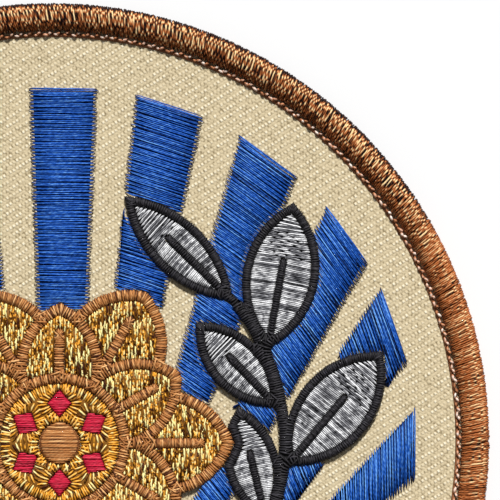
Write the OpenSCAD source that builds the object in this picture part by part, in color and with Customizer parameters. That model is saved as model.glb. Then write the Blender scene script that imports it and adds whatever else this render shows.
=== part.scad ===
// Round embroidered patch: a twill disc with a rolled border, satin rays, a rosette and two leaf sprays.
// The patch lies on its back in the XY plane, face up, with its origin at the middle of the back.

/* [Disc] */
// Diameter of the patch across the border roll
patch_d = 101.6; // [100:0.2:104]
// Thickness of the twill disc with its backing
ground_t = 1.0; // [0.9:0.05:1.2]

/* [Border] */
// Width of the border roll
border_w = 3.14; // [2.9:0.02:3.4]
// Height of the border roll above the back
border_h = 2.4; // [2.2:0.1:2.8]
// Width of the chain row beside the roll
chain_w = 0.7; // [0.6:0.05:0.8]
// Height of the chain row above the twill
chain_h = 0.5; // [0.4:0.05:0.6]

/* [Embroidery] */
// Shift of the embroidery from the border's middle, to the right
art_x = 0.87; // [-1:0.01:1]
// Shift of the embroidery from the border's middle, upward
art_y = -0.33; // [-1:0.01:1]
// Gap between neighbouring pieces of embroidery
gap = 0.1; // [0.08:0.01:0.14]

/* [Rays] */
// Radius of the circle that carries the rays' outer ends and the point where they would meet
fan_r = 41.4; // [40:0.1:42]
// Angle from one ray to the next round the middle of that circle
ray_pitch = 18; // [17.5:0.1:18.5]
// Angle that a ray's outer end takes round the same middle
ray_span = 11; // [10.4:0.1:11.6]
// Turn of the upright ray from its even place, to the right
upright_turn = 0.6; // [-0.6:0.1:0.6]
// Angle by which the upright ray's outer end is narrower than the others
upright_less = 0.5; // [0:0.1:1]
// Distance below that middle at which the upright ray's sides would meet
upright_meet = 66; // [60:1:68]
// Turn of the wide ray on either side from its even place, towards the upright one
wide_turn = 1.5; // [0:0.1:1.6]
// Angle by which the wide ray's outer end is wider than the others
wide_more = 1.4; // [0:0.1:1.6]
// Distance from the meeting point at which the rays begin
ray_start = 10.2; // [9.5:0.1:11]
// Radius of the rounded foot from which the rays rise
foot_r = 8.6; // [8:0.1:9]
// Height of the rays above the twill
ray_h = 0.45; // [0.3:0.05:0.6]

/* [Leaf sprays] */
// Radius of the arc that each stem follows
stem_r = 26.2; // [26:0.1:26.6]
// Width of a stem
stem_w = 1.3; // [1.1:0.1:1.5]
// Direction of the first leaf's foot from the rosette's middle
first_leaf_a = -67; // [-68:1:-66]
// Angle along the stem from one leaf to the next
leaf_pitch = 15; // [14.5:0.1:15.5]
// Length of a leaf on the stem's outer side
outer_leaf_len = 16; // [15:0.1:17]
// Length of a leaf on the stem's inner side
inner_leaf_len = 12.4; // [12:0.1:13]
// Width of a leaf on the stem's outer side
outer_leaf_w = 7.8; // [7:0.1:8]
// Width of a leaf on the stem's inner side
inner_leaf_w = 5.4; // [5:0.1:5.8]
// Length of the stalk between the stem and a leaf
stalk_len = 1.4; // [1:0.1:2]
// Angle by which an outer leaf leaves the stem
outer_splay = 33; // [28:1:34]
// Angle by which an inner leaf leaves the stem
inner_splay = 36; // [30:1:38]
// Width of the outline round a leaf
leaf_line_w = 1.0; // [0.8:0.05:1.1]
// Height of the leaves above the twill
leaf_h = 0.6; // [0.45:0.05:0.7]
// Height of the outlines round leaves and petals above the twill
line_h = 0.85; // [0.75:0.05:0.95]

/* [Rosette] */
// Radius of the rim between the lozenge band and the petals
rim_r = 8.2; // [8:0.1:8.4]
// Distance of the inner petals' tips from the middle
inner_tip_r = 15.6; // [15.2:0.1:16]
// Width of an inner petal
inner_petal_w = 8.8; // [8.4:0.1:9]
// Distance of the outer petals' tips from the middle
outer_tip_r = 19.6; // [19.2:0.1:19.8]
// Width of an outer petal
outer_petal_w = 11; // [10:0.1:12]
// Width of the outline round a petal
petal_line_w = 1.3; // [1.1:0.05:1.4]
// Height of the petals above the twill
petal_h = 0.6; // [0.45:0.05:0.7]

/* [Lozenges] */
// Distance of a lozenge's middle from the rosette's middle
lozenge_r = 4.6; // [4.5:0.05:4.7]
// Width of a lozenge, along the band
lozenge_w = 2.8; // [2.4:0.1:3]
// Height of a lozenge, across the band
lozenge_l = 3.3; // [3:0.1:3.4]
// Radius of the boss in the middle
boss_r = 2.4; // [2.2:0.05:2.6]
// Height of the lozenges above the twill
lozenge_h = 0.6; // [0.45:0.05:0.7]
// Height of the band and the boss above the twill
band_h = 0.8; // [0.7:0.05:0.9]

/* [Hidden] */
SIDE_RAYS = 7;
WIDE_RAY = 4;
LEAVES = 8;
PETALS = 6;
SIDES = ["right", "left"];

roll_r = 1.35;
tongue_t = 0.4;
tongue_len = 1.5;
tongue_gap = 0.06;
tie_w = 4.4;
tie_l = 2.6;
tip_splay = 8;
stem_start_a = -89.9;
vein_share = 0.6;
inner_waist = 0.6;
outer_waist = 3.6;
inner_vein_stop = 2.8;
outer_vein_stop = 3.2;
chain_top_share = 0.55;

patch_r = patch_d / 2;
border_in_r = patch_r - border_w;
ground_r = border_in_r - tongue_gap;
chain_r = ground_r - chain_w / 2 - gap / 2;
slot_z = ground_t / 2;
focus = [0, -fan_r];
vein_w = leaf_line_w - gap;
stem_end_a = first_leaf_a + (LEAVES - 1) * leaf_pitch;
inner_petal_len = 2 * (inner_tip_r - rim_r - inner_waist);
outer_petal_len = 2 * (outer_tip_r - inner_tip_r + outer_waist);
tie_y = -stem_r;

RAYS = concat(["ray_0"], [for (side = SIDES, k = [1 : SIDE_RAYS]) str("ray_", side, "_", k)]);
LEAF_NODES = [for (side = SIDES, k = [1 : LEAVES]) str("leaf_", side, "_", k)];
LINE_NODES = [for (side = SIDES) str("spray_outline_", side)];
PETAL_NODES = [for (ring = ["inner", "outer"], k = [1 : PETALS]) str(ring, "_petal_", k)];
LOZENGE_NODES = [for (k = [1 : PETALS]) str("lozenge_", k)];

$fn = 128;

// A point at a distance and a direction from the origin
function polar(r, a) = r * [cos(a), sin(a)];

// The point at a distance from p on the way to q
function toward(p, q, dist) = p + dist * (q - p) / norm(q - p);

// Puts a piece on the twill, in the embroidery's own place, with its height
module stitched(h) {
    translate([art_x, art_y, ground_t]) linear_extrude(h) children();
}

// Mirrors what is made for the right side when the left one is asked for
module on_side(side) {
    mirror([side == "left" ? 1 : 0, 0]) children();
}

// A pointed oval from the origin along +X, grown evenly by grow
module pointed_oval(len, wid, grow = 0) {
    arc_r = (len * len + wid * wid) / (4 * wid);
    intersection_for (side = [-1, 1])
        translate([len / 2, side * (arc_r - wid / 2)]) circle(arc_r + grow);
}

// A straight line of stitching along +X with one round end
module vein_line(from, to, wid) {
    translate([from, -wid / 2]) square([to - from, wid]);
    translate([to, 0]) circle(d = wid);
}

// Twill disc with a tongue that the border roll holds
module twill_ground() {
    color("wheat") {
        cylinder(h = ground_t, r = ground_r);
        translate([0, 0, slot_z - tongue_t / 2]) cylinder(h = tongue_t, r = ground_r + tongue_len);
    }
}

// Border roll: a rounded ring with a flat back and a slot for the disc's tongue
module border_roll() {
    roll_z = border_h - roll_r;
    color("saddlebrown") rotate_extrude() difference() {
        intersection() {
            union() {
                translate([border_in_r + roll_r, roll_z]) circle(roll_r);
                translate([patch_r - roll_r, roll_z]) circle(roll_r);
                translate([border_in_r + roll_r, roll_z - roll_r])
                    square([border_w - 2 * roll_r, 2 * roll_r]);
            }
            translate([border_in_r, 0]) square([border_w, border_h]);
        }
        translate([border_in_r, slot_z - tongue_t / 2 - tongue_gap])
            square([tongue_len + tongue_gap, tongue_t + 2 * tongue_gap]);
    }
}

// Chain row: a low ridge on the twill beside the roll
module border_chain() {
    foot = chain_w / 2;
    top = foot * chain_top_share;
    color("sienna") translate([0, 0, ground_t]) rotate_extrude() translate([chain_r, 0])
        polygon([[-foot, 0], [foot, 0], [top, chain_h], [-top, chain_h]]);
}

// Direction of ray k from the fan's middle, clockwise from upright
function ray_place(k) = ray_pitch * k + (k == 0 ? upright_turn : k == WIDE_RAY ? -wide_turn : 0);

// Angle that the outer end of ray k takes
function ray_take(k) = ray_span + (k == 0 ? -upright_less : k == WIDE_RAY ? wide_more : 0);

// One ray of the fan, number k to the right of the upright one, before the other pieces cut it;
// the upright one begins under the tie
module ray_shape(k) {
    meeting = k == 0 ? [0, -upright_meet] : focus;
    start = k == 0 ? upright_meet + tie_y : ray_start;
    corners = [for (side = [1, -1]) polar(fan_r, 90 - ray_place(k) + side * ray_take(k) / 2)];
    feet = [for (corner = corners) toward(meeting, corner, start)];
    polygon([corners[0], corners[1], feet[1], feet[0]]);
}

// One ray as it shows beside the rosette and the sprays
module ray(side, k) {
    color("royalblue") stitched(ray_h) on_side(side) difference() {
        ray_shape(k);
        rosette_cover(gap);
        for (near = [0, 1]) mirror([near, 0]) spray_cover(gap);
        tie_shape(gap);
    }
}

// Rounded foot where the rays would meet
module fan_foot() {
    color("goldenrod") stitched(petal_h) intersection() {
        translate(focus) circle(foot_r);
        circle(fan_r);
    }
}

// True for the leaves on the stem's outer side
function is_outer(k) = k % 2 == 1;

// Length of leaf k, from its stalk to its tip
function leaf_len(k) = is_outer(k) || k == LEAVES ? outer_leaf_len : inner_leaf_len;

// Angle by which leaf k turns away from the stem, inward; the last one ends the stem
function leaf_turn(k) = k == LEAVES ? tip_splay : is_outer(k) ? -outer_splay : inner_splay;

// Places what is made at the foot of leaf k of the right spray, with +X along the leaf
module at_leaf(k) {
    rotate(first_leaf_a + (k - 1) * leaf_pitch) translate([stem_r, 0]) rotate(90 + leaf_turn(k)) children();
}

// The pointed oval of leaf k beyond its stalk, grown evenly by grow
module leaf_shape(k, grow) {
    translate([stalk_len, 0]) pointed_oval(leaf_len(k), is_outer(k) ? outer_leaf_w : inner_leaf_w, grow);
}

// The vein of leaf k with its stalk, grown evenly by grow
module leaf_vein(k, grow) {
    vein_line(0, stalk_len + vein_share * leaf_len(k), vein_w + 2 * grow);
}

// The right stem, an arc from the tie to the last leaf, grown evenly by grow
module stem(grow) {
    difference() {
        intersection() {
            difference() {
                circle(stem_r + stem_w / 2 + grow);
                circle(stem_r - stem_w / 2 - grow);
            }
            polygon(concat([[0, 0]], [for (a = [stem_start_a, stem_start_a / 2, 0, stem_end_a]) polar(2 * stem_r, a)]));
        }
        tie_shape(gap - grow);
    }
}

// What is left open inside the outline of leaf k for its fill, grown evenly by grow
module leaf_window(k, grow) {
    difference() {
        at_leaf(k) difference() {
            leaf_shape(k, grow - leaf_line_w / 2);
            leaf_vein(k, -grow);
        }
        stem(-grow);
        rosette_cover(gap + leaf_line_w - grow);
    }
}

// All that the right spray covers, grown evenly by grow
module spray_cover(grow) {
    stem(grow);
    for (k = [1 : LEAVES]) at_leaf(k) {
        leaf_shape(k, grow + leaf_line_w / 2);
        leaf_vein(k, grow);
    }
}

// Grey fill of one leaf
module leaf(side, k) {
    color("slategray") stitched(leaf_h) on_side(side) leaf_window(k, -gap / 2);
}

// Black contour of one spray: the stem, the leaves' edges and their veins
module spray_outline(side) {
    color("darkslategray") stitched(line_h) on_side(side) difference() {
        spray_cover(0);
        for (k = [1 : LEAVES]) leaf_window(k, gap / 2);
        rosette_cover(gap);
    }
}

// The tie's outline, a short band across both stems
module tie_shape(grow = 0) {
    translate([0, tie_y]) square([tie_w + 2 * grow, tie_l + 2 * grow], center = true);
}

// Gold tie across both stems
module spray_tie() {
    color("goldenrod") stitched(line_h) tie_shape();
}

// The pointed oval of inner petal k, grown evenly by grow
module inner_petal_shape(k, grow) {
    rotate(90 + (k - 1) * 360 / PETALS) translate([inner_tip_r - inner_petal_len, 0])
        pointed_oval(inner_petal_len, inner_petal_w, grow);
}

// The pointed oval of outer petal k, grown evenly by grow
module outer_petal_shape(k, grow) {
    rotate(90 + (k - 0.5) * 360 / PETALS) translate([outer_tip_r - outer_petal_len, 0])
        pointed_oval(outer_petal_len, outer_petal_w, grow);
}

// What is left open for the fill of inner petal k, grown evenly by grow
module inner_petal_window(k, grow) {
    difference() {
        inner_petal_shape(k, grow - petal_line_w / 2);
        circle(rim_r - grow);
        rotate(90 + (k - 1) * 360 / PETALS)
            vein_line(rim_r - petal_line_w, inner_tip_r - inner_vein_stop, petal_line_w - gap - 2 * grow);
    }
}

// What is left open for the fill of outer petal k, grown evenly by grow
module outer_petal_window(k, grow) {
    difference() {
        outer_petal_shape(k, grow - petal_line_w / 2);
        for (near = [0, 1]) inner_petal_shape(k + near, petal_line_w / 2 - grow);
        rotate(90 + (k - 0.5) * 360 / PETALS)
            vein_line(rim_r, outer_tip_r - outer_vein_stop, petal_line_w - gap - 2 * grow);
    }
}

// All that the rosette covers, grown evenly by grow
module rosette_cover(grow = 0) {
    circle(rim_r + grow);
    for (k = [1 : PETALS]) {
        inner_petal_shape(k, grow + petal_line_w / 2);
        outer_petal_shape(k, grow + petal_line_w / 2);
    }
}

// Gold fill of one petal, of the inner or the outer ring
module petal(ring, k) {
    color("gold") stitched(petal_h)
        if (ring == "inner") inner_petal_window(k, -gap / 2);
        else outer_petal_window(k, -gap / 2);
}

// Brown contour of all the petals, with the rim round the lozenge band
module petal_outline() {
    color("peru") stitched(line_h) difference() {
        rosette_cover();
        for (k = [1 : PETALS]) {
            inner_petal_window(k, gap / 2);
            outer_petal_window(k, gap / 2);
        }
        circle(rim_r - petal_line_w + gap);
    }
}

// One lozenge's outline on the band, grown evenly by grow
module lozenge_shape(k, grow) {
    stretch = norm([lozenge_l, lozenge_w]);
    half_l = lozenge_l / 2 + grow * stretch / lozenge_w;
    half_w = lozenge_w / 2 + grow * stretch / lozenge_l;
    rotate(90 + (k - 1) * 360 / PETALS) translate([lozenge_r, 0])
        polygon([[half_l, 0], [0, half_w], [-half_l, 0], [0, -half_w]]);
}

// One crimson lozenge
module lozenge(k) {
    color("crimson") stitched(lozenge_h) lozenge_shape(k, 0);
}

// Gold band that frames the lozenges
module lozenge_band() {
    color("khaki") stitched(band_h) difference() {
        circle(rim_r - petal_line_w);
        circle(boss_r + gap);
        for (k = [1 : PETALS]) lozenge_shape(k, gap);
    }
}

// Brown boss in the middle of the rosette
module boss() {
    color("peru") stitched(band_h) circle(boss_r);
}

twill_ground();
border_roll();
border_chain();
ray("right", 0);  // ray_0
for (side = SIDES) {
    for (k = [1 : SIDE_RAYS]) ray(side, k);
    for (k = [1 : LEAVES]) leaf(side, k);
    spray_outline(side);
}
for (k = [1 : PETALS]) {
    for (ring = ["inner", "outer"])
        petal(ring, k);
    lozenge(k);
}
petal_outline();
lozenge_band();
boss();
spray_tie();
fan_foot();
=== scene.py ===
"""Looks of a round embroidered patch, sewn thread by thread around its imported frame.

Lengths are millimetres in the classes and become metres where a mesh is made.
"""

import logging
import math
import zlib
from collections.abc import Callable
from dataclasses import dataclass, field, replace
from enum import Enum

import bpy
import numpy as np
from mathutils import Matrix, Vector


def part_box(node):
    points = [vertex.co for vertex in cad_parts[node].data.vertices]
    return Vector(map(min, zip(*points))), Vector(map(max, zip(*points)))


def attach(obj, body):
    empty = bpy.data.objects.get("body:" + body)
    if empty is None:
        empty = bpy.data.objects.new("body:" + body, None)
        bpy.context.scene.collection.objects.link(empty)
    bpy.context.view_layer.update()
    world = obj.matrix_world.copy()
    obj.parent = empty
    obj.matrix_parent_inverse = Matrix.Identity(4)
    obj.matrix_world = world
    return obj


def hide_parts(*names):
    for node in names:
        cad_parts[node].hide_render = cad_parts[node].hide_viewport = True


Array = np.ndarray
Colour = tuple[float, float, float]
Span = tuple[float, float]
Random = np.random.Generator

MM = 0.001
# How far apart, in metres, vertices may lie that are one; a length too short to divide by; and the smallest
# crossing of two lines that aren't parallel.
SAME_PLACE = 1e-6
TINY = 1e-9
PARALLEL = 1e-12
BODY = "root"
SIDES = ("right", "left")
ART_CENTRE = np.array([0.87, -0.33])

log = logging.getLogger("patch")
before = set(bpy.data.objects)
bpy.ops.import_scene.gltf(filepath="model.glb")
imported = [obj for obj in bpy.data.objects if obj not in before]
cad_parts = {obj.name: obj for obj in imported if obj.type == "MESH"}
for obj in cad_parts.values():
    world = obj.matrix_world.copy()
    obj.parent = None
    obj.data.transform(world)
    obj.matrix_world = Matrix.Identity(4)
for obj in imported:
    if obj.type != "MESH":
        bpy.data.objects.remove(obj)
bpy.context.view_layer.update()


def deselect_all() -> None:
    """Leaves nothing selected, so that an operator acts on new work alone."""
    bpy.ops.object.select_all(action="DESELECT")


def select_only(piece: bpy.types.Object) -> None:
    """Selects one object and makes it the active one.

    Args:
        piece: The object.
    """
    deselect_all()
    piece.select_set(True)
    bpy.context.view_layer.objects.active = piece


def select_verts(piece: bpy.types.Object, wanted: Callable[[Vector], bool]) -> None:
    """Selects the vertices of the object in edit mode whose place passes a test.

    Args:
        piece: The object that is being edited.
        wanted: Says whether a vertex at this place is selected.
    """
    bpy.ops.mesh.select_mode(type="VERT")
    bpy.ops.mesh.select_all(action="DESELECT")
    bpy.ops.object.mode_set(mode="OBJECT")
    for vertex in piece.data.vertices:
        vertex.select = wanted(vertex.co)
    bpy.ops.object.mode_set(mode="EDIT")


def edit_all(piece: bpy.types.Object) -> None:
    """Opens one object for editing, with all of it selected.

    Args:
        piece: The object.
    """
    select_only(piece)
    bpy.ops.object.mode_set(mode="EDIT")
    bpy.ops.mesh.select_all(action="SELECT")


def close_up(piece: bpy.types.Object, gap: float) -> None:
    """Merges an object's vertices that lie together and turns its faces outward.

    Args:
        piece: The object.
        gap: How far apart such vertices may lie.
    """
    edit_all(piece)
    bpy.ops.mesh.remove_doubles(threshold=gap)
    bpy.ops.mesh.normals_make_consistent(inside=False)
    bpy.ops.object.mode_set(mode="OBJECT")


def faces_of(mesh: bpy.types.Mesh) -> tuple[Array, Array]:
    """The vertex at every face corner, and how many corners each face has."""
    corners = np.array([i for face in mesh.polygons for i in face.vertices])
    return corners, np.array([len(face.vertices) for face in mesh.polygons])


def chance(name: str) -> Random:
    """A random source that always gives the same draws for the same piece."""
    return np.random.default_rng(zlib.crc32(name.encode()))


def unit(vectors: Array) -> Array:
    """The same vectors at length one."""
    return vectors / np.maximum(np.linalg.norm(vectors, axis=-1, keepdims=True), TINY)


def turned_left(vectors: Array) -> Array:
    """Plane vectors turned a quarter to the left."""
    return np.stack([-vectors[..., 1], vectors[..., 0]], axis=-1)


def set_apart(values: Array, share: float = 0.5) -> Array:
    """Values that differ more from their neighbours down the rows, as threads that shade each other."""
    return values - share * (np.roll(values, 1, axis=0) + np.roll(values, -1, axis=0))


def heading(degrees: float) -> Array:
    """The plane direction at an angle from the patch's right."""
    return np.array([math.cos(math.radians(degrees)), math.sin(math.radians(degrees))])


class Flow:
    """One output of a material's nodes, with the operators that a finish needs."""

    def __init__(self, book: "NodeBook", socket: bpy.types.NodeSocket) -> None:
        """Keeps the book that adds nodes and the socket that carries the value."""
        self.book = book
        self.socket = socket

    def __add__(self, other: "Flow | float") -> "Flow":
        """This plus the other."""
        return self.book.maths("ADD", self, other)

    __radd__ = __add__

    def __mul__(self, other: "Flow | float") -> "Flow":
        """This times the other."""
        return self.book.maths("MULTIPLY", self, other)

    __rmul__ = __mul__

    def __sub__(self, other: "Flow | float") -> "Flow":
        """This less the other."""
        return self.book.maths("SUBTRACT", self, other)

    def __rsub__(self, other: "Flow | float") -> "Flow":
        """The other less this."""
        return self.book.maths("SUBTRACT", other, self)

    def __neg__(self) -> "Flow":
        """This with its sign turned."""
        return self * -1.0

    def cosine(self) -> "Flow":
        """A wave of one turn for each whole step of this value."""
        return self.book.maths("COSINE", self * (2 * math.pi))

    def floor(self) -> "Flow":
        """The whole number below."""
        return self.book.maths("FLOOR", self)

    def between(self, low: float, high: float) -> "Flow":
        """Rises smoothly from 0 to 1 as this goes from low to high."""
        settings = {"interpolation_type": "SMOOTHSTEP"}
        return self.book.node("ShaderNodeMapRange", settings, {0: self, 1: low, 2: high})


class NodeBook:
    """The nodes of one material, added one after the other."""

    def __init__(self, name: str) -> None:
        """Starts an empty material.

        Args:
            name: The material's name.
        """
        self.material = bpy.data.materials.new(name)
        self.material.use_nodes = True
        self.tree = self.material.node_tree
        self.tree.nodes.clear()

    def node(self, kind: str, settings: dict, sockets: dict, out: str | int = 0) -> Flow | None:
        """Adds any node.

        Args:
            kind: The node's type.
            settings: Its properties, which are set first.
            sockets: Values or flows for its inputs, by name or number.
            out: The output that is wanted.

        Returns:
            The flow that leaves the wanted output, or nothing if the node has none.
        """
        made = self.tree.nodes.new(kind)
        for key, value in settings.items():
            setattr(made, key, value)
        for key, value in sockets.items():
            if isinstance(value, Flow):
                self.tree.links.new(value.socket, made.inputs[key])
            else:
                made.inputs[key].default_value = value
        return Flow(self, made.outputs[out]) if len(made.outputs) else None

    def maths(self, operation: str, *values: "Flow | float") -> Flow:
        """One Math node on numbers or flows."""
        return self.node("ShaderNodeMath", {"operation": operation}, dict(enumerate(values)))

    def blend(self, first: "Flow | Colour", second: "Flow | Colour", share: Flow) -> Flow:
        """The first colour, turning into the second.

        Args:
            first: The colour where share is 0.
            second: The colour where share is 1.
            share: How much of the second there is.

        Returns:
            The colour between them.
        """
        first, second = ((*c, 1.0) if isinstance(c, tuple) else c for c in (first, second))
        settings = {"data_type": "RGBA", "clamp_factor": True}
        return self.node("ShaderNodeMix", settings, {0: share, 6: first, 7: second}, 2)

    def place(self) -> Flow:
        """The place on the patch, in metres."""
        return self.node("ShaderNodeTexCoord", {}, {}, "Object")

    def split(self, vector: Flow) -> tuple[Flow, Flow, Flow]:
        """The three parts of a vector.

        Args:
            vector: Any vector.

        Returns:
            Its x, y and z.
        """
        first = self.node("ShaderNodeSeparateXYZ", {}, {0: vector})
        outputs = first.socket.node.outputs
        return first, Flow(self, outputs[1]), Flow(self, outputs[2])

    def noise(self, at: Flow, size: float, detail: float = 2.0) -> Flow:
        """Soft noise from 0 to 1 whose blots are about size millimetres wide."""
        sockets = {"Vector": at, "Scale": 1.0 / (size * MM), "Detail": detail}
        return self.node("ShaderNodeTexNoise", {}, sockets)

    def relief(self, height: Flow, depth: float) -> Flow:
        """A normal for a height from 0 to 1 that stands for depth millimetres."""
        return self.node("ShaderNodeBump", {}, {"Strength": 1.0, "Distance": depth * MM, "Height": height})

    def finish(self, **sockets: "Flow | float | Colour") -> bpy.types.Material:
        """Closes the material with its surface.

        Args:
            sockets: The surface's inputs, with underscores for the spaces in their names.

        Returns:
            The material.
        """
        named = {key.replace("_", " "): (*value, 1.0) if isinstance(value, tuple) else value
                 for key, value in sockets.items()}
        surface = self.node("ShaderNodeBsdfPrincipled", {}, named)
        self.node("ShaderNodeOutputMaterial", {}, {"Surface": surface})
        return self.material


@dataclass(frozen=True)
class Yarn:
    """Silky embroidery yarn: two plies that glint where they turn to the light.

    Its light and shade are partly painted: body is its colour, deep a painted shadow colour and glint a painted
    highlight colour that its painted shade turns it towards. streak and streaks_round say how short and how narrow
    its random streaks of painted sheen are, streak_tone and twist_tone how much they and the plies' painted light
    and shade show, and twist_depth how many millimetres the plies stand out.
    """

    slot: str
    body: Colour
    deep: Colour
    glint: Colour
    name: str = ""
    roughness: float = 0.62
    gloss: float = 0.2
    streak: float = 0.45
    streaks_round: float = 3.0
    streak_tone: float = 1.3
    twist_tone: float = 0.2
    twist_depth: float = 0.02

    def made(self) -> bpy.types.Material:
        """Makes the yarn's material the first time it is asked for.

        Returns:
            The material.
        """
        name = f"{self.name or self.slot}_yarn"
        known = bpy.data.materials.get(name)
        if known:
            return known
        book = NodeBook(name)
        shade = book.node("ShaderNodeAttribute", {"attribute_name": "shade"}, {}, "Fac")
        along, around, _ = book.split(book.node("ShaderNodeUVMap", {"uv_map": "strand"}, {}))
        sockets = {0: along * self.streak, 1: around * self.streaks_round}
        lengthwise = book.node("ShaderNodeCombineXYZ", {}, sockets)
        streaks = book.node("ShaderNodeTexNoise", {}, {"Vector": lengthwise, "Scale": 1.0, "Detail": 2.0})
        twist = (along + around).cosine() * 0.5 + 0.5
        # Painted light and shade: each vertex's painted shade, the random streaks and the plies' twist turn the
        # body towards the painted shadow colour or the painted highlight colour.
        tone = shade + (streaks - 0.5) * self.streak_tone + (twist - 0.5) * self.twist_tone
        colour = book.blend(self.body, self.deep, -tone)
        colour = book.blend(colour, self.glint, tone)
        normal = book.relief(twist + streaks, self.twist_depth)
        return book.finish(
            Base_Color=colour, Roughness=self.roughness, Specular_IOR_Level=self.gloss, Normal=normal)


@dataclass(frozen=True)
class TwillCloth:
    """Cream twill: ribs that rise to the right, each made of short bright floats.

    column is the distance between upright columns, climb how much a rib rises from one to the next and repeat the
    height from rib to rib. The ribs wander by wander of that height over wander_size millimetres, and their tone
    is uneven over uneven_size. The floats' brightness is a painted highlight: dullest is the share of it that the
    dullest float keeps and weft how bright the threads between the floats are painted. weave_tone sets how much
    the weave's painted light and shade show, shade_tone how dark the cloth is, and fuzz how much the unevenness
    adds to the relief. A rib, a float and a crossing between floats rise over the part of their wave that
    rib_rise, float_rise and weft_rise give, the crossing's two waves with the shift of weft_shift. The cloth's
    tone turns from valley, a painted shade in the hollows of the weave, to body over to_body, and to crest, a
    painted highlight on the floats, over to_crest.
    """

    slot: str = "twill"
    column: float = 0.372
    climb: float = 0.2325
    repeat: float = 0.93
    painted_valley_shade: Colour = (0.30, 0.23, 0.125)
    body: Colour = (0.70, 0.58, 0.37)
    painted_crest_highlight: Colour = (0.95, 0.86, 0.65)
    wander: float = 0.35
    wander_size: float = 3.0
    uneven_size: float = 0.35
    rib_rise: Span = (-0.4, 1.0)
    float_rise: Span = (-0.95, 0.5)
    weft_rise: tuple[Span, Span] = ((0.1, 1.0), (-0.6, 0.7))
    weft_shift: Span = (0.45, 0.3)
    to_body: Span = (-0.2, 0.2)
    to_crest: Span = (0.3, 0.85)
    dullest: float = 0.4
    weft: float = 0.22
    weave_tone: float = 0.8
    shade_tone: float = 0.44
    fuzz: float = 0.6
    depth: float = 0.065
    roughness: float = 0.9
    gloss: float = 0.15

    def made(self) -> bpy.types.Material:
        """Makes the cloth's material.

        Returns:
            The material.
        """
        book = NodeBook("cream_twill")
        place = book.place()
        x, y, _ = book.split(place)
        wander = book.noise(place, self.wander_size) * self.wander
        column = x * (1.0 / (self.column * MM))
        rib = y * (1.0 / (self.repeat * MM)) - column * (self.climb / self.repeat) + wander
        weave = rib.cosine().between(*self.rib_rise) * (column + rib).cosine().between(*self.float_rise)
        uneven = book.noise(place, self.uneven_size)
        sockets = {0: (column + rib + 0.5).floor(), 1: (rib + 0.5).floor()}
        cell = book.node("ShaderNodeCombineXYZ", {}, sockets)
        each = book.node("ShaderNodeTexWhiteNoise", {}, {"Vector": cell})
        waves = (rib + self.weft_shift[0]).cosine(), (column + rib + self.weft_shift[1]).cosine()
        crossing = waves[0].between(*self.weft_rise[0]) * waves[1].between(*self.weft_rise[1])
        weave = weave * (each * (1 - self.dullest) + self.dullest) + crossing * self.weft
        # The floats carry a painted highlight and the hollows of the weave a painted shade.
        tone = weave * self.weave_tone + uneven - self.shade_tone
        colour = book.blend(self.painted_valley_shade, self.body, tone.between(*self.to_body))
        colour = book.blend(colour, self.painted_crest_highlight, tone.between(*self.to_crest))
        normal = book.relief(weave + uneven * self.fuzz, self.depth)
        return book.finish(
            Base_Color=colour, Roughness=self.roughness, Specular_IOR_Level=self.gloss, Normal=normal)


@dataclass(frozen=True)
class BackFilm:
    """Smooth adhesive film on the back, slightly cloudy."""

    clear: Colour = (0.62, 0.58, 0.50)
    cloudy: Colour = (0.72, 0.70, 0.64)
    cloud_size: float = 6.0
    cloud_edge: Span = (0.35, 0.65)
    grain_size: float = 0.4
    grain_depth: float = 0.03
    roughness: float = 0.35

    def made(self) -> bpy.types.Material:
        """Makes the film's material.

        Returns:
            The material.
        """
        book = NodeBook("back_film")
        place = book.place()
        clouds = book.noise(place, self.cloud_size)
        normal = book.relief(book.noise(place, self.grain_size), self.grain_depth)
        colour = book.blend(self.clear, self.cloudy, clouds.between(*self.cloud_edge))
        return book.finish(Base_Color=colour, Roughness=self.roughness, Normal=normal)


@dataclass(frozen=True)
class Paper:
    """The plain pale sheet that the patch lies on."""

    tint: Colour = (0.95, 0.95, 0.95)
    roughness: float = 0.9

    def made(self) -> bpy.types.Material:
        """The sheet's material."""
        book = NodeBook("pale_floor")
        return book.finish(Base_Color=self.tint, Roughness=self.roughness)


# Each yarn: its own colour, then a painted shadow colour and a painted highlight colour.
BORDER_YARN = Yarn("border_thread", (0.49, 0.150, 0.042), (0.007, 0.002, 0.003), (1.0, 0.71, 0.36), gloss=0.12,
                   streak=0.8, streak_tone=0.5)
CHAIN_YARN = Yarn("border_thread", (0.62, 0.25, 0.11), (0.015, 0.004, 0.003), (1.0, 0.88, 0.78),
                  name="chain_thread")
BLUE_YARN = Yarn("blue_thread", (0.0105, 0.108, 0.52), (0.001, 0.002, 0.018), (0.19, 0.48, 1.0), streak=0.9,
                 streak_tone=2.6)
GREY_YARN = Yarn("grey_thread", (0.205, 0.205, 0.223), (0.003, 0.003, 0.005), (0.99, 0.99, 1.0), streak=1.3,
                 streak_tone=1.8, twist_tone=0.12)
BLACK_YARN = Yarn("black_thread", (0.020, 0.018, 0.022), (0.003, 0.003, 0.003), (0.085, 0.08, 0.095), gloss=0.3)
BROWN_YARN = Yarn("brown_thread", (0.51, 0.205, 0.058), (0.08, 0.020, 0.008), (0.96, 0.56, 0.24))
GOLD_YARN = Yarn("gold_thread", (1.0, 0.45, 0.04), (0.05, 0.009, 0.002), (1.0, 0.91, 0.42), streak_tone=1.5)
CRIMSON_YARN = Yarn("crimson_thread", (0.62, 0.014, 0.053), (0.20, 0.004, 0.013), (0.80, 0.08, 0.13))


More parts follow.
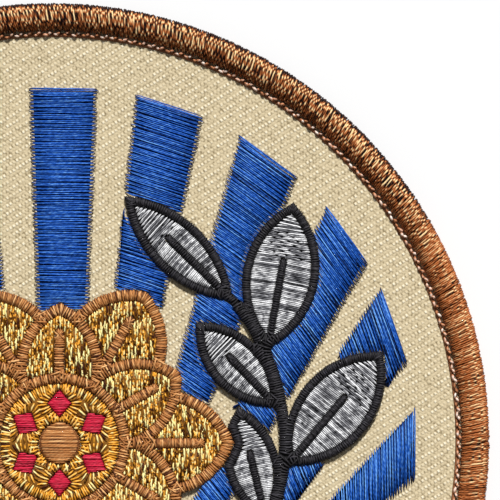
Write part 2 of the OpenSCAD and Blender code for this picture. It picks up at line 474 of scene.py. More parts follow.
@dataclass
class Parts:
    """Raw mesh parts of a piece: places in millimetres and what each corner and vertex carries.

    corners holds the vertex at every face corner and sizes the corners of each face. cell is a corner's place on
    the bake's map, strand its place along and around its thread, and shade how dark or bright a vertex is
    painted: random tone together with painted highlights and painted shade.
    """

    verts: Array
    corners: Array
    sizes: Array
    cell: Array
    strand: Array
    shade: Array

    @staticmethod
    def joined(several: "list[Parts]") -> "Parts":
        """Puts parts together.

        Args:
            several: The parts, in order.

        Returns:
            All of them as one.
        """
        starts = np.cumsum([0] + [len(p.verts) for p in several[:-1]])
        corners = np.concatenate([p.corners + s for p, s in zip(several, starts)])
        rest = {key: np.concatenate([getattr(p, key) for p in several])
                for key in ("verts", "sizes", "cell", "strand", "shade")}
        return Parts(corners=corners, **rest)

    def piece(self, name: str, material: bpy.types.Material) -> bpy.types.Object:
        """Makes the object.

        Args:
            name: The object's name.
            material: What the whole piece is made of.

        Returns:
            The new object, with its maps and shade.
        """
        mesh = bpy.data.meshes.new(name)
        mesh.vertices.add(len(self.verts))
        mesh.vertices.foreach_set("co", (self.verts * MM).astype(np.float32).ravel())
        mesh.loops.add(len(self.corners))
        mesh.loops.foreach_set("vertex_index", self.corners.astype(np.int32))
        mesh.polygons.add(len(self.sizes))
        mesh.polygons.foreach_set("loop_start", (np.cumsum(self.sizes) - self.sizes).astype(np.int32))
        mesh.polygons.foreach_set("use_smooth", np.ones(len(self.sizes), bool))
        mesh.update(calc_edges=True)
        for key, values in (("OFBake", self.cell), ("strand", self.strand)):
            mesh.uv_layers.new(name=key).data.foreach_set("uv", values.astype(np.float32).ravel())
        # shade carries the painted highlights and painted shade, with random tone, to the yarn's material.
        mesh.attributes.new("shade", "FLOAT", "POINT").data.foreach_set("value", self.shade.astype(np.float32))
        mesh.validate()
        mesh.materials.append(material)
        made = bpy.data.objects.new(name, mesh)
        bpy.context.scene.collection.objects.link(made)
        return made


@dataclass
class Strand:
    """One thread, modelled once as a round rod with closed points and laid along every stitch.

    Its rings stand one step apart, and laying it moves each ring to its place on the stitch. near of its stations
    stand close to either hole. The rest is read from the rod: its section, the ring of each vertex, its faces and
    the turn round its axis of every face corner.
    """

    sides: int
    rings: int
    near: int = 4
    across: Array = field(init=False)
    ring_of: Array = field(init=False)
    corners: Array = field(init=False)
    sizes: Array = field(init=False)
    turns: Array = field(init=False)

    def __post_init__(self) -> None:
        """Models the rod and reads it."""
        deselect_all()
        bpy.ops.mesh.primitive_circle_add(vertices=self.sides, radius=0.5, fill_type="NOTHING")
        rod = bpy.context.object
        edit_all(rod)
        for _ in range(self.rings + 1):
            bpy.ops.mesh.extrude_region_move(TRANSFORM_OT_translate={"value": (0, 0, 1)})
        bpy.ops.mesh.merge(type="CENTER")
        select_verts(rod, lambda place: place.z < 0.5)
        bpy.ops.mesh.merge(type="CENTER")
        bpy.ops.mesh.select_all(action="SELECT")
        bpy.ops.mesh.normals_make_consistent(inside=False)
        bpy.ops.object.mode_set(mode="OBJECT")
        self._read(rod.data)
        bpy.data.objects.remove(rod)

    def _read(self, mesh: bpy.types.Mesh) -> None:
        """Keeps the rod's vertices, faces and turns round its axis.

        Args:
            mesh: The rod's mesh.
        """
        places = np.array([v.co for v in mesh.vertices])
        self.across = places[:, :2]
        self.ring_of = np.rint(places[:, 2]).astype(int)
        self.corners, self.sizes = faces_of(mesh)
        turns = []
        for face in mesh.polygons:
            on_rim = [i for i in face.vertices if np.hypot(*self.across[i]) > 0.1]
            angle = {i: math.atan2(*self.across[i][::-1]) / (2 * math.pi) % 1.0 for i in on_rim}
            if max(angle.values()) - min(angle.values()) > 0.5:
                angle = {i: a + 1.0 if a < 0.5 else a for i, a in angle.items()}
            middle = sum(angle.values()) / len(angle)
            turns += [angle.get(i, middle) for i in face.vertices]
        self.turns = np.array(turns) / (1.0 + 1.0 / self.sides)

    @property
    def stations(self) -> int:
        """How many places along the stitch the rod has, with its two points."""
        return self.rings + 2

    def laid(self, path: Array, side: Array, width: Array, thick: Array, shade: Array) -> Parts:
        """Lays a copy of the rod along every path.

        Args:
            path: Middle lines, one row of stations for each thread.
            side: The directions across each thread, in the same shape.
            width: Widths at the stations.
            thick: Heights at the stations.
            shade: Tone at the stations with painted light and shade, from -1, painted shadow, to 1, painted
                highlight.

        Returns:
            The parts of all threads.
        """
        count = len(path)
        tangent = unit(np.gradient(path, axis=1))
        side = unit(side - tangent * (side * tangent).sum(-1, keepdims=True))
        up = np.cross(tangent, side)
        ring = self.ring_of
        verts = (path[:, ring] + side[:, ring] * (self.across[:, 0] * width[:, ring])[..., None]
                 + up[:, ring] * (self.across[:, 1] * thick[:, ring])[..., None])
        step = np.arange(count)[:, None]
        corners = (self.corners[None] + step * len(self.across)).ravel()
        length = np.linalg.norm(np.diff(path, axis=1), axis=-1)
        run = np.concatenate([np.zeros((count, 1)), np.cumsum(length, axis=1)], axis=1)
        corner_ring = ring[self.corners]
        turns = np.broadcast_to(self.turns, (count, len(self.turns)))
        along = run[:, corner_ring] / TWIST + step * STREAK_STEP
        strand = np.stack([along, turns * (1.0 + 1.0 / self.sides)], axis=-1)
        cell = self._cells(count, float(run[:, -1].mean()), corner_ring, turns)
        return Parts(verts.reshape(-1, 3), corners, np.tile(self.sizes, count), cell.reshape(-1, 2),
                     strand.reshape(-1, 2), shade[:, ring].ravel())

    def _cells(self, count: int, length: float, corner_ring: Array, turns: Array) -> Array:
        """Gives each thread its own cell of the bake's map, above the strip kept for the padding.

        Args:
            count: How many threads there are.
            length: Their mean length, which sets how many stand side by side.
            corner_ring: The ring of every face corner.
            turns: The turn round its thread of every face corner.

        Returns:
            Every face corner's place on the map.
        """
        columns = max(1, math.ceil(math.sqrt(count * max(length, SHORTEST))))
        rows = math.ceil(count / columns)
        index = np.arange(count)[:, None]
        across = (index % columns + CELL_EDGE + (1 - 2 * CELL_EDGE) * turns) / columns
        end = corner_ring[None] / (self.stations - 1)
        along = (index // columns + CELL_EDGE + (1 - 2 * CELL_EDGE) * end) / rows
        return np.stack([across, PAD_STRIP + (1 - PAD_STRIP) * along], axis=-1)


# The bake's map: the share of its height that is kept for padding, how large the padding is drawn there and where
# it starts, the free edge round a thread's cell and the shortest thread that a cell allows for.
PAD_STRIP = 0.12
PAD_SIZE = np.array([0.98, PAD_STRIP * 0.9])
PAD_START = np.array([0.01, PAD_STRIP * 0.03])
CELL_EDGE = 0.05
SHORTEST = 0.3
# A yarn's plies turn once in TWIST millimetres, and STREAK_STEP starts its streaks elsewhere on every thread.
TWIST = 0.55
STREAK_STEP = 7.37
LONG_STRAND = Strand(sides=4, rings=9)
SHORT_STRAND = Strand(sides=4, rings=5, near=3)
ROLL_STRAND = Strand(sides=4, rings=15)
# How far from its hole a thread's first stations stand, the most of a stitch that they take, and how deep under
# its base a thread starts.
HOLE_STEPS = np.array([0.0, 0.08, 0.25, 0.6])
HEAD_SHARE = 0.4
BURIED = 0.12
# How far from its hole a thread is pulled aside, half of it closely and half further on, where it is free to sway,
# and how far its painted glint and its painted shadow reach.
PINCH_NEAR, PINCH_FAR = 0.45, 2.6
SWAY_FREE = 0.3
GLINT_REACH, SHADE_REACH = 0.7, 0.19
# The share of its thickness that a thread keeps at its ends, how unevenly wide threads are, and how much of their
# sway and of their tone changes along them.
FLAT_END = 0.45
WIDTH_SPREAD = 0.08
SWAY_ALONG, TONE_ALONG = 0.5, 0.6


@dataclass(frozen=True)
class Stitch:
    """How the threads of one kind of area lie.

    pitch is the distance between neighbours, base the height at which a thread leaves its hole, crown the height
    that it gains from there, rise the way it needs for that, pinch the pull towards a hole that two threads
    share, overhang how far it passes its outline, lift and sway how unevenly it lies, tone how unevenly it is
    coloured at random towards its painted shadow and highlight colours, length the longest stitch, tip the share
    of its width at its ends, end_shade how much painted shade darkens it there, end_glint how much painted
    highlight lightens it just inside them, and fall how much its painted sheen fades from its upper to its lower
    end, lighter at the end towards the lamp.
    """

    pitch: float
    width: float
    thick: float
    crown: float
    rise: float
    base: float = 0.05
    pinch: float = 0.0
    overhang: float = 0.06
    lift: float = 0.03
    sway: float = 0.03
    tone: float = 0.35
    length: float = 3.0
    tip: float = 0.5
    end_shade: float = 0.6
    end_glint: float = 0.0
    fall: float = 0.0

    def sewn(self, strand: Strand, starts: Array, ends: Array, ground: float, rng: Random,
             pinches: Array | None = None) -> Parts:
        """Lays one thread from each start to its end.

        Args:
            strand: The rod that is laid.
            starts: Where the threads come up, in the plane.
            ends: Where they go down again.
            ground: Height of the cloth.
            rng: Where the unevenness comes from.
            pinches: Sideways pull at the two ends of each thread, if neighbours share holes.

        Returns:
            The threads' parts.
        """
        count = len(starts)
        span = np.linalg.norm(ends - starts, axis=1)[:, None]
        near = HOLE_STEPS[: strand.near]
        inner = strand.stations - 2 * strand.near
        fit = np.minimum(1.0, HEAD_SHARE * span / near[-1])
        head = near * fit / span
        middle = np.linspace(0, 1, inner + 2)[1:-1] * (1 - 2 * head[:, -1:]) + head[:, -1:]
        share = np.concatenate([head, middle, 1 - head[:, ::-1]], axis=1)
        from_start, from_end = share * span, (1 - share) * span
        across = turned_left(unit(ends - starts))
        sway = rng.normal(0, self.sway, (count, 1))
        sway = sway + rng.normal(0, self.sway * SWAY_ALONG, (count, strand.stations))
        nearest = np.minimum(from_start, from_end)
        sway = sway * (1 - np.exp(-nearest / SWAY_FREE))
        if pinches is not None:
            pull = [0.5 * np.exp(-(way / PINCH_NEAR) ** 2) + 0.5 * np.exp(-way / PINCH_FAR)
                    for way in (from_start, from_end)]
            sway = sway + pinches[:, :1] * pull[0] + pinches[:, 1:] * pull[1]
        flat = starts[:, None] + share[..., None] * (ends - starts)[:, None] + sway[..., None] * across[:, None]
        rise = 1 - np.exp(-nearest / self.rise)
        height = self.base + (self.crown + rng.normal(0, self.lift, (count, 1))) * rise
        height[:, [0, -1]] = self.base - BURIED
        path = np.concatenate([flat, ground + height[..., None]], axis=-1)
        side = np.broadcast_to(np.append(across, np.zeros((count, 1)), axis=1)[:, None], path.shape)
        narrow = self.tip + (1 - self.tip) * rise
        width = self.width * (1 + rng.normal(0, WIDTH_SPREAD, (count, 1))) * narrow
        # Random tone, set apart between neighbours as painted shade where threads shade each other.
        tone = rng.normal(0, self.tone, (count, 1))
        shade = set_apart(tone + rng.normal(0, self.tone * TONE_ALONG, path.shape[:2]))
        # Painted highlight just inside the ends, painted shade at the ends, and a painted sheen lighter at the end
        # towards the lamp.
        shade = shade + self.end_glint * np.exp(-(nearest / GLINT_REACH) ** 2)
        shade = shade - self.end_shade * np.exp(-nearest / SHADE_REACH)
        shade = shade + self.fall * unit(ends - starts)[:, 1:] * (2 * share - 1)
        thick = self.thick * (FLAT_END + (1 - FLAT_END) * rise)
        return strand.laid(path, side, width, thick, np.clip(shade, -1, 1))


@dataclass
class Plan:
    """The plan of one CAD node in millimetres: the edges round its flat top, with the solid on their left."""

    node: str
    loops: list[Array] = field(init=False)
    segments: Array = field(init=False)
    ground: float = field(init=False)
    height: float = field(init=False)

    def __post_init__(self) -> None:
        """Reads the outline from the node's mesh."""
        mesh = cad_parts[self.node].data
        low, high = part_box(self.node)
        self.ground, self.height = low.z / MM, (high.z - low.z) / MM
        places = np.array([v.co for v in mesh.vertices]) / MM
        key = [tuple(p) for p in np.round(places, 3)]
        top = high.z / MM - 0.001
        edges = set()
        for face in mesh.polygons:
            ids = face.vertices
            if all(places[i][2] > top for i in ids):
                edges |= {(key[a], key[b]) for a, b in zip(ids, [*ids[1:], ids[0]])}
        following = {a: b for a, b in sorted(edges) if (b, a) not in edges}
        self.loops = []
        while following:
            first = here = next(iter(following))
            loop = []
            while here in following:
                loop.append(here[:2])
                here = following.pop(here)
            if here == first and len(loop) > 2:
                self.loops.append(np.array(loop))
        self.segments = np.concatenate([np.stack([p, np.roll(p, -1, axis=0)], axis=1) for p in self.loops])

    def hits(self, start: Array, way: Array) -> Array:
        """Finds where a line crosses the outline.

        Args:
            start: Where the line starts.
            way: The line's direction and step.

        Returns:
            How many steps from the start each crossing lies, in order.
        """
        a, edge = self.segments[:, 0], self.segments[:, 1] - self.segments[:, 0]
        cross = way[0] * edge[:, 1] - way[1] * edge[:, 0]
        safe = np.where(np.abs(cross) < PARALLEL, PARALLEL, cross)
        rel = a - start
        far = (rel[:, 0] * edge[:, 1] - rel[:, 1] * edge[:, 0]) / safe
        on_edge = (rel[:, 0] * way[1] - rel[:, 1] * way[0]) / safe
        return np.sort(far[(on_edge >= 0) & (on_edge < 1)])

    def spans(self, start: Array, way: Array) -> list[Span]:
        """The stretches of a line that lie inside, as shares of way."""
        far = self.hits(start, way)
        return list(zip(far[0::2], far[1::2]))

    def reach(self, direction: Array) -> Span:
        """The least and the greatest distance of the outline along a direction."""
        along = self.segments[:, 0] @ direction
        return float(along.min()), float(along.max())

    def hem(self, pitch: float, soften: int = 3) -> tuple[Array, Array]:
        """Points at an even pitch along every edge.

        Args:
            pitch: Distance between points.
            soften: How many neighbours on each side share a direction, which fans the threads round a corner.

        Returns:
            The points and the inward direction at each.
        """
        points, inward = [], []
        for loop in self.loops:
            step = np.roll(loop, -1, axis=0) - loop
            length = np.linalg.norm(step, axis=1)
            ends = np.cumsum(length)
            count = max(3, round(ends[-1] / pitch))
            at = (np.arange(count) + 0.5) * ends[-1] / count
            index = np.minimum(np.searchsorted(ends, at), len(loop) - 1)
            share = (at - (ends - length)[index]) / np.maximum(length[index], TINY)
            points.append(loop[index] + share[:, None] * step[index])
            normal = turned_left(unit(step[index]))
            mean = sum(np.roll(normal, shift, axis=0) for shift in range(-soften, soften + 1))
            inward.append(unit(mean))
        return np.concatenate(points), np.concatenate(inward)


@dataclass
class Sewn:
    """An area of one yarn that stands for one CAD node: a padding under the threads, and the threads.

    The padding is drawn in by pad_inset at its top and by pad_foot below, fills pad_share of the node's height, is
    sunk a little into the cloth and is painted dark by pad_shade, a painted shade for the shadow seen between the
    threads. A thread that would be shorter than shortest is left out.
    """

    node: str
    yarn: Yarn
    stitch: Stitch
    pad_inset: float = 0.22
    pad_foot: float = 0.06
    pad_share: float = 0.55
    pad_shade: float = -0.9
    sunk: float = 0.02
    shortest: float = 0.3

    def threads(self, plan: Plan, rng: Random) -> list[Parts]:
        """The threads of the area; each kind of area lays its own."""
        raise NotImplementedError

    def padding(self, plan: Plan) -> Parts:
        """Draws in and lowers the area's own solid, which closes the gaps between its threads.

        Args:
            plan: The area's plan.

        Returns:
            The padding's parts.
        """
        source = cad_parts[self.node]
        pad = source.copy()
        pad.data = source.data.copy()
        bpy.context.scene.collection.objects.link(pad)
        close_up(pad, SAME_PLACE)
        verts = np.array([v.co for v in pad.data.vertices]) / MM
        normals = np.array([v.normal for v in pad.data.vertices])
        above = verts[:, 2] > plan.ground + plan.height / 2
        verts[:, :2] -= normals[:, :2] * np.where(above, self.pad_inset, self.pad_foot)[:, None]
        verts[:, 2] = np.where(above, plan.ground + self.pad_share * plan.height, plan.ground - self.sunk)
        corners, sizes = faces_of(pad.data)
        bpy.data.objects.remove(pad)
        low, high = verts.min(0), verts.max(0)
        spread = (verts[:, :2] - low[:2]) / (high - low)[:2]
        cell = (spread * PAD_SIZE + PAD_START)[corners]
        # The padding is painted in one dark shade, pad_shade, as the shadow seen between the threads.
        return Parts(verts, corners, sizes, cell, np.zeros((len(corners), 2)), np.full(len(verts), self.pad_shade))

    def build(self) -> None:
        """Sews the area and puts it in the node's place."""
        plan = Plan(self.node)
        parts = Parts.joined([self.padding(plan), *self.threads(plan, chance(self.node))])
        piece = parts.piece(f"{self.node}_stitching", self.yarn.made())
        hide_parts(self.node)
        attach(piece, BODY)
        log.info("%s: %d faces", piece.name, len(piece.data.polygons))


@dataclass
class RaySatin(Sewn):
    """A ray in satin: each thread crosses the ray, level with its outer end and turning square to it below.

    The sizes from fan_r to wide_more are the CAD's. The outer threads lie outward by reach, which fades over
    reach_rows threads up to last_reached, and the very first are drawn back by tuck, which fades over tuck_rows.
    Pairs share their holes fully from even_rows on. A thread takes a share of its overhang between the two of
    ragged. Where an outline covers an end, so that more than cut of its way is missing, it runs on by under.
    """

    number: int = 0
    fan_r: float = 41.4
    ray_pitch: float = 18.0
    ray_span: float = 11.0
    ray_start: float = 10.2
    upright_turn: float = 0.6
    upright_less: float = 0.5
    upright_meet: float = 66.0
    tie_y: float = -26.2
    wide_ray: int = 4
    wide_turn: float = 1.5
    wide_more: float = 1.4
    reach: float = 0.34
    reach_rows: float = 20.0
    last_reached: float = 24.0
    tuck: float = 0.16
    tuck_rows: float = 1.5
    even_rows: float = 4.0
    under: float = 0.45
    cut: float = 0.02
    ragged: Span = (0.3, 1.0)
    shortest: float = 0.5

    def place(self) -> float:
        """The ray's direction from the fan's middle, clockwise from upright."""
        own = {0: self.upright_turn, self.wide_ray: -self.wide_turn}.get(abs(self.number), 0.0)
        return math.copysign(self.ray_pitch * abs(self.number) + own, self.number)

    def take(self) -> float:
        """The angle that the ray's outer end takes."""
        own = {0: -self.upright_less, self.wide_ray: self.wide_more}
        return self.ray_span + own.get(abs(self.number), 0.0)

    def edges(self) -> tuple[Array, Array]:
        """Finds the ray's corners on the patch.

        Returns:
            Its two outer corners and its two feet.
        """
        below, start = self.fan_r, self.ray_start
        if self.number == 0:
            below, start = self.upright_meet, self.upright_meet + self.tie_y
        meeting = np.array([0.0, -below])
        half = self.take() / 2
        corners = np.array([self.fan_r * heading(90 - self.place() + off) for off in (half, -half)])
        feet = meeting + start * unit(corners - meeting)
        return corners + ART_CENTRE, feet + ART_CENTRE

    def threads(self, plan: Plan, rng: Random) -> list[Parts]:
        """Lays pairs of threads that share a hole on either side.

        Args:
            plan: The ray's plan.
            rng: Where the unevenness comes from.

        Returns:
            The threads' parts.
        """
        corners, feet = self.edges()
        longest = np.linalg.norm(feet - corners, axis=1).max()
        count = int(longest / self.stitch.pitch)
        row = np.arange(count)
        share = (row + 0.5)[:, None] / count
        left = corners[0] + share * (feet[0] - corners[0])
        right = corners[1] + share * (feet[1] - corners[1])
        pull = self.stitch.pinch * np.where(row % 2 == 0, 1.0, -1.0) * np.clip(row / self.even_rows, 0, 1)
        further = self.reach * np.clip((self.last_reached - row) / self.reach_rows, 0, 1)
        further = further - self.tuck * np.exp(-row / self.tuck_rows)
        further = further[:, None] * heading(90 - self.place())
        starts, ends, pinches = [], [], []
        for a, b, p, lead in zip(left, right, pull, further):
            length = np.linalg.norm(b - a)
            for low, high in plan.spans(a, b - a):
                if (high - low) * length < self.shortest:
                    continue
                covered = np.array([low, 1 - high]) > self.cut
                over = (self.stitch.overhang * rng.uniform(*self.ragged, 2) + self.under * covered) / length
                starts.append(a + lead + (low - over[0]) * (b - a))
                ends.append(a + lead + (high + over[1]) * (b - a))
                pinches.append(np.array([-p, p]) * ~covered)
        starts, ends, pinches = np.array(starts), np.array(ends), np.array(pinches)
        return [self.stitch.sewn(LONG_STRAND, starts, ends, plan.ground, rng, pinches)]


@dataclass
class RowFill(Sewn):
    """An area filled with straight rows, which are broken into shorter stitches where they are long.

    The rows run at angle, and the first lies first_row of the pitch from the edge. As shares of the longest
    stitch, whole is how long a row may be in one, hole_step how far the holes move on from row to row,
    hole_spread how unevenly they lie, and clear how far they keep from the row's ends.
    """

    angle: float = 0.0
    first_row: float = 0.3
    whole: float = 1.4
    hole_step: float = 0.37
    hole_spread: float = 0.06
    clear: float = 0.3

    def threads(self, plan: Plan, rng: Random) -> list[Parts]:
        """Lays the rows' stitches.

        Args:
            plan: The area's plan.
            rng: Where the unevenness comes from.

        Returns:
            The stitches' parts.
        """
        way = heading(self.angle)
        across = turned_left(way)
        low, high = plan.reach(across)
        rows = np.arange(low + self.stitch.pitch * self.first_row, high, self.stitch.pitch)
        starts, ends = [], []
        for number, row in enumerate(rows):
            for begin, end in plan.spans(row * across, way):
                for a, b in self._broken(begin, end, number, rng):
                    starts.append(a * way + row * across)
                    ends.append(b * way + row * across)
        odd = np.where(np.arange(len(starts)) % 2 == 0, self.stitch.pinch, -self.stitch.pinch)
        pinches = np.stack([-odd, odd], axis=1)
        return [self.stitch.sewn(LONG_STRAND, np.array(starts), np.array(ends), plan.ground, rng, pinches)]

    def _broken(self, begin: float, end: float, number: int, rng: Random) -> list[Span]:
        """Breaks one stretch of a row at holes that step along from row to row.

        Args:
            begin: Where the stretch starts along the row.
            end: Where it ends.
            number: The row's number.
            rng: Where the unevenness comes from.

        Returns:
            Where each stitch starts and ends.
        """
        length = self.stitch.length
        begin, end = begin - self.stitch.overhang, end + self.stitch.overhang
        if end - begin < self.whole * length:
            return [(begin, end)] if end - begin > self.shortest else []
        first = math.floor(begin / length) * length + (number * self.hole_step % 1.0) * length
        holes = np.arange(first, end, length)
        holes = holes + rng.normal(0, self.hole_spread * length, len(holes))
        holes = holes[(holes > begin + self.clear * length) & (holes < end - self.clear * length)]
        stops = [begin, *holes, end]
        return list(zip(stops[:-1], stops[1:]))


@dataclass
class Contour(Sewn):
    """A satin line: threads run from every edge to the one it faces.

    widest is the longest thread, and an edge nearer than clear is the one that the thread starts from. A thread
    takes a share of its overhang between the two of ragged.
    """

    widest: float = 2.0
    clear: float = 0.15
    ragged: Span = (0.2, 1.2)

    def threads(self, plan: Plan, rng: Random) -> list[Parts]:
        """Lays threads from both edges, which close up between each other.

        Args:
            plan: The line's plan.
            rng: Where the unevenness comes from.

        Returns:
            The threads' parts.
        """
        points, inward = plan.hem(self.stitch.pitch)
        starts, ends = [], []
        for point, way in zip(points, inward):
            far = plan.hits(point, way)
            far = far[far > self.clear]
            reach = float(far[0]) if len(far) else 0.0
            if reach < self.shortest:
                continue
            over = self.stitch.overhang * rng.uniform(*self.ragged, 2)
            starts.append(point - way * over[0])
            ends.append(point + way * (min(reach, self.widest) + (over[1] if reach < self.widest else 0.0)))
        return [self.stitch.sewn(SHORT_STRAND, np.array(starts), np.array(ends), plan.ground, rng)]


# Along a border thread, from its foot inside over the roll and back under it: the turn of each station round the
# roll, how much the tone of each varies from thread to thread in random dashes of painted glint and painted
# shadow,
# and how bright it is painted: painted light where the roll faces the lamp, painted shade where it turns away and
# at the rim.
ROLL_TURN = np.radians([179, 160, 142, 124, 108, 94, 84, 70, 56, 42, 27, 10, -14, -42])
DASH_SHARE = np.array(
    [0.15, 0.15, 0.15, 0.25, 0.6, 1.1, 1.25, 1.25, 0.85, 0.35, 0.2, 0.2, 0.2, 0.2, 0.2, 0.2, 0.2])
ROLL_PAINTED_LIGHT = np.array(
    [-0.45, -0.3, -0.35, -0.5, -0.9, -1.2, -0.5, 1.1, 1.5, 0.35, -0.4, -0.7, 0.0, 0.0, 0.0, 0.0, 0.0])


@dataclass
class BorderRoll:
    """The overlocked border: threads wound over the edge of the cloth, leaning, round a filled core.

    The roll is width wide with two shoulders of roll_r and its middle at the height heart. Threads of the width
    thread, thick high, lie pitch apart, stand proud of it and start foot inside it. Their way back under it is
    below_outer and below_inner: how far outward of each shoulder, and how high. They lean by lean degrees, and
    lean_spread, lift, weave, sway and uneven say how unevenly they lie and how unevenly wide they are.

    Their tone varies at random by tone from thread to thread and by dash from place to place, in dashes of
    painted glint and painted shadow, set apart by beside from the threads beside and by along from the places
    before and after. To the right and left of the patch, where the sine of a thread's direction is under calm_to
    and the threads run across the lamp's light, only calm of the dashes, the painted rim and the roll's painted
    light and shade is left, and it comes back over calm_fade. Over the last rim towards the edge the threads widen
    by spread and are painted darker by rim_shade, a painted shadow along the edge.

    The core is core_share of their section, spun in core_steps, and its map is core_margin wider than the patch.
    It is painted in the darkest shade, as the shadow seen between the threads.
    """

    node: str = "border_roll"
    yarn: Yarn = BORDER_YARN
    width: float = 3.14
    roll_r: float = 1.35
    heart: float = 1.0
    below_outer: tuple[Span, ...] = ((0.3, 0.11),)
    below_inner: tuple[Span, ...] = ((0.1, 0.11), (-0.4, 0.2))
    pitch: float = 0.23
    thread: float = 0.215
    thick: float = 0.22
    proud: float = 0.13
    foot: float = 0.3
    lean: float = 12.0
    lean_spread: float = 0.4
    lift: float = 0.015
    weave: float = 0.03
    sway: float = 0.0006
    uneven: float = 0.12
    tone: float = 0.2
    dash: float = 2.3
    beside: float = 0.9
    along: float = 0.3
    calm: float = 0.12
    calm_to: float = 0.45
    calm_fade: float = 0.3
    spread: float = 0.25
    rim: float = 0.9
    rim_shade: float = 3.0
    core_share: float = 0.9
    core_steps: int = 192
    core_margin: float = 1.05

    def section(self) -> tuple[Array, Array]:
        """Works out a thread's way over the roll and back under it.

        Returns:
            The distance from the patch's middle and the height of each station.
        """
        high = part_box(self.node)[1] / MM
        inner, outer = high.x - self.width + self.roll_r, high.x - self.roll_r + self.proud
        middle, radius = high.z - self.roll_r, self.roll_r - self.thick / 2
        shoulders = np.where(ROLL_TURN > math.pi / 2, inner, outer)
        below = [(outer + out, up) for out, up in self.below_outer]
        below += [(inner + out, up) for out, up in self.below_inner]
        reach = np.concatenate([shoulders + radius * np.cos(ROLL_TURN), [out for out, _ in below]])
        height = np.concatenate([middle + radius * np.sin(ROLL_TURN), [up for _, up in below]])
        reach[0], height[0] = reach[0] - self.foot, middle
        return reach, height

    def build(self) -> None:
        """Winds the threads over the core."""
        rng = chance(self.node)
        reach, height = self.section()
        count = int(2 * math.pi * reach.max() / self.pitch)
        lean = np.tan(np.radians(rng.normal(self.lean, self.lean_spread, (count, 1))))
        begin = (np.arange(count) / count * 2 * math.pi)[:, None] + rng.normal(0, self.sway, (count, 1))
        angle = begin + lean * (reach - reach[0]) / reach
        angle = angle + rng.normal(0, self.sway, angle.shape)
        lift = rng.normal(0, self.lift, (count, 1)) + rng.normal(0, self.weave, angle.shape)
        middle = (reach.max() + reach.min()) / 2
        outward = unit(np.stack([reach - middle, height - self.heart], axis=-1))
        lift[:, len(ROLL_TURN):] = 0.0
        far = reach + lift * outward[:, 0]
        high = height + lift * outward[:, 1]
        path = np.stack([far * np.cos(angle), far * np.sin(angle), high], axis=-1)
        side = np.stack([-np.sin(angle), np.cos(angle), np.zeros_like(angle)], axis=-1)
        # The painted dashes, the roll's painted light and shade and the painted rim are strongest where the
        # threads run towards the lamp, at the top and bottom, and fade to calm at the sides.
        upright = np.clip((np.abs(np.sin(begin)) - self.calm_to) / self.calm_fade, 0, 1)
        painted_light_share = self.calm + (1 - self.calm) * upright
        dashes = rng.normal(0, self.dash, angle.shape)
        dashes = set_apart(set_apart(dashes, self.beside).T, self.along).T
        shade = rng.normal(0, self.tone, (count, 1)) + dashes * DASH_SHARE * painted_light_share
        # Towards the rim the threads widen and are painted darker, a painted shadow along the edge.
        rim = np.clip((reach - reach.max()) / self.rim + 1, 0, 1)
        width = self.thread * (1 + rng.normal(0, self.uneven, (count, 1))) * (1 + self.spread * rim)
        shade = shade + (ROLL_PAINTED_LIGHT - self.rim_shade * rim) * painted_light_share
        threads = ROLL_STRAND.laid(path, side, width, np.full_like(width, self.thick), np.clip(shade, -1, 1))
        piece = Parts.joined([self.core(), threads]).piece("border_winding", self.yarn.made())
        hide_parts(self.node)
        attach(piece, BODY)
        log.info("%s: %d threads", piece.name, count)

    def core(self) -> Parts:
        """Spins the threads' section, drawn in, round the patch.

        Returns:
            The parts of the ring under the threads.
        """
        reach, height = self.section()
        middle = np.array([(reach.max() + reach.min()) / 2, self.heart])
        points = [middle + self.core_share * (np.array(p) - middle) for p in zip(reach[1:-1], height[1:-1])]
        deselect_all()
        bpy.ops.mesh.primitive_circle_add(vertices=len(points), radius=1.0, fill_type="NOTHING")
        ring = bpy.context.object
        for vertex, (r, z) in zip(ring.data.vertices, points):
            vertex.co = (r, 0.0, z)
        edit_all(ring)
        bpy.ops.mesh.spin(steps=self.core_steps, angle=2 * math.pi, center=(0, 0, 0), axis=(0, 0, 1))
        bpy.ops.object.mode_set(mode="OBJECT")
        close_up(ring, SAME_PLACE / MM)
        verts = np.array([v.co for v in ring.data.vertices])
        corners, sizes = faces_of(ring.data)
        bpy.data.objects.remove(ring)
        spread = verts[:, :2] / (2 * self.core_margin * reach.max()) + 0.5
        cell = (spread * [1.0, PAD_STRIP])[corners]
        # The core is painted in the darkest shade, as the shadow seen between the threads.
        return Parts(verts, corners, sizes, cell, np.zeros((len(corners), 2)), np.full(len(verts), -1.0))


@dataclass(frozen=True)
class Lane:
    """One thread of every link of a chain.

    begin and end are where it comes up and goes down: how far outward of the chain's middle, and which share of a
    link onward.
    """

    begin: Span
    end: Span
    width: float
    crown: float


